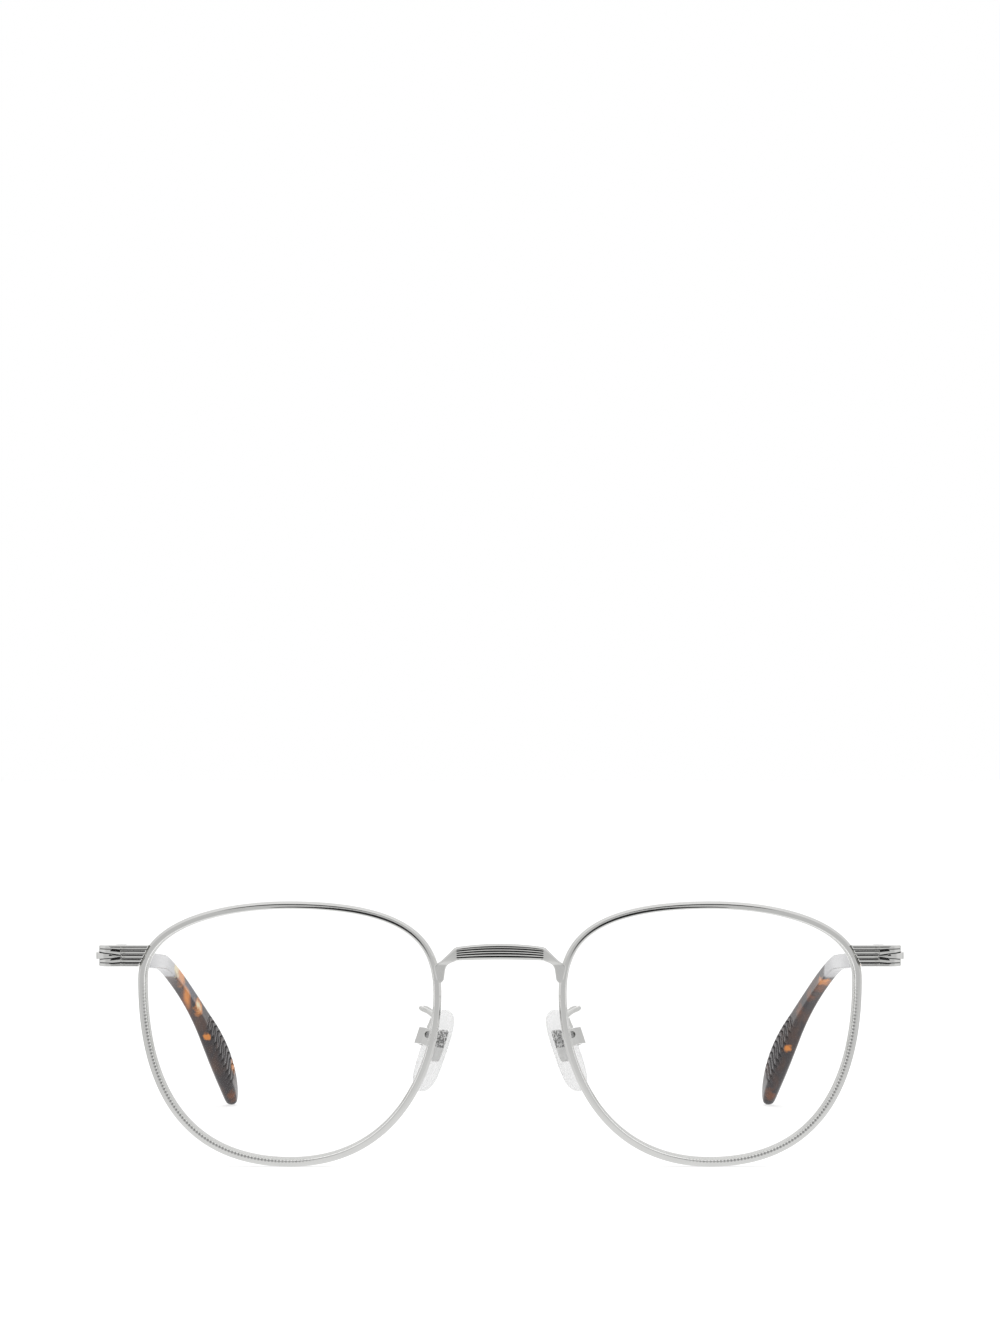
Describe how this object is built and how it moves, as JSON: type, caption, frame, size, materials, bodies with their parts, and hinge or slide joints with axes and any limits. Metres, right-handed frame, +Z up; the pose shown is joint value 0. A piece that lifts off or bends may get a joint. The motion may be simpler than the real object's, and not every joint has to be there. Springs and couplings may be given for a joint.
{
  "type": "round wire eyeglasses",
  "caption": "Round metal-rimmed eyeglasses with a ribbed bridge, clear lenses, rocking clear nose pads, and temples with tortoise ear tips that fold in on hinges.",
  "frame": {"origin": "centre of the open glasses' bounding box, on the surface they stand on", "axes": "+Z up, -Y out of the front of the lenses, +X towards the wearer's left; the temples run back along +Y"},
  "size_m": [0.1402, 0.1354, 0.0461],
  "materials": {
    "polished_silver": "polished silver-coloured plating",
    "brushed_silver": "satin silver-coloured metal",
    "screw_steel": "darker turned steel",
    "clear_lens": "clear, anti-reflection coated",
    "tortoise_acetate": "polished dark tortoise with amber and cream patches",
    "clear_silicone": "clear soft silicone, slightly matt"
  },
  "bodies": {
    "front": {"bridge": "polished_silver", "left_rim": "polished_silver", "left_lens": "clear_lens", "left_endpiece": "polished_silver", "left_rim_lock_upper": "brushed_silver", "left_rim_lock_lower": "brushed_silver", "left_rim_screw": "screw_steel", "left_hinge_fork": "brushed_silver", "left_hinge_screw": "screw_steel", "left_pad_arm": "polished_silver", "left_pad_box": "polished_silver", "left_pad_screw": "screw_steel", "right_rim": "polished_silver", "right_lens": "clear_lens", "right_endpiece": "polished_silver", "right_rim_lock_upper": "brushed_silver", "right_rim_lock_lower": "brushed_silver", "right_rim_screw": "screw_steel", "right_hinge_fork": "brushed_silver", "right_hinge_screw": "screw_steel", "right_pad_arm": "polished_silver", "right_pad_box": "polished_silver", "right_pad_screw": "screw_steel"},
    "left_temple": {"left_hinge_tongue": "brushed_silver", "left_temple_arm": "polished_silver", "left_temple_tip": "tortoise_acetate"},
    "right_temple": {"right_hinge_tongue": "brushed_silver", "right_temple_arm": "polished_silver", "right_temple_tip": "tortoise_acetate"},
    "left_pad": {"left_nose_pad": "clear_silicone", "left_pad_insert": "brushed_silver"},
    "right_pad": {"right_nose_pad": "clear_silicone", "right_pad_insert": "brushed_silver"}
  },
  "joints": [
    {"name": "left_temple_fold", "type": "hinge", "parent": "front", "child": "left_temple", "pos_m": [0.0659, -0.05649, 0.0362], "axis": [0, 0.0698, 0.9976], "range_deg": [0, 83]},
    {"name": "right_temple_fold", "type": "hinge", "parent": "front", "child": "right_temple", "pos_m": [-0.0659, -0.05649, 0.0362], "axis": [0, -0.0698, -0.9976], "range_deg": [0, 73]},
    {"name": "left_pad_rock", "type": "hinge", "parent": "front", "child": "left_pad", "pos_m": [0.013, -0.05849, 0.0227], "axis": [0.5, 0.866, 0], "range_deg": [-8, 8]},
    {"name": "right_pad_rock", "type": "hinge", "parent": "front", "child": "right_pad", "pos_m": [-0.013, -0.05849, 0.0227], "axis": [-0.5, 0.866, 0], "range_deg": [-8, 8]}
  ]
}
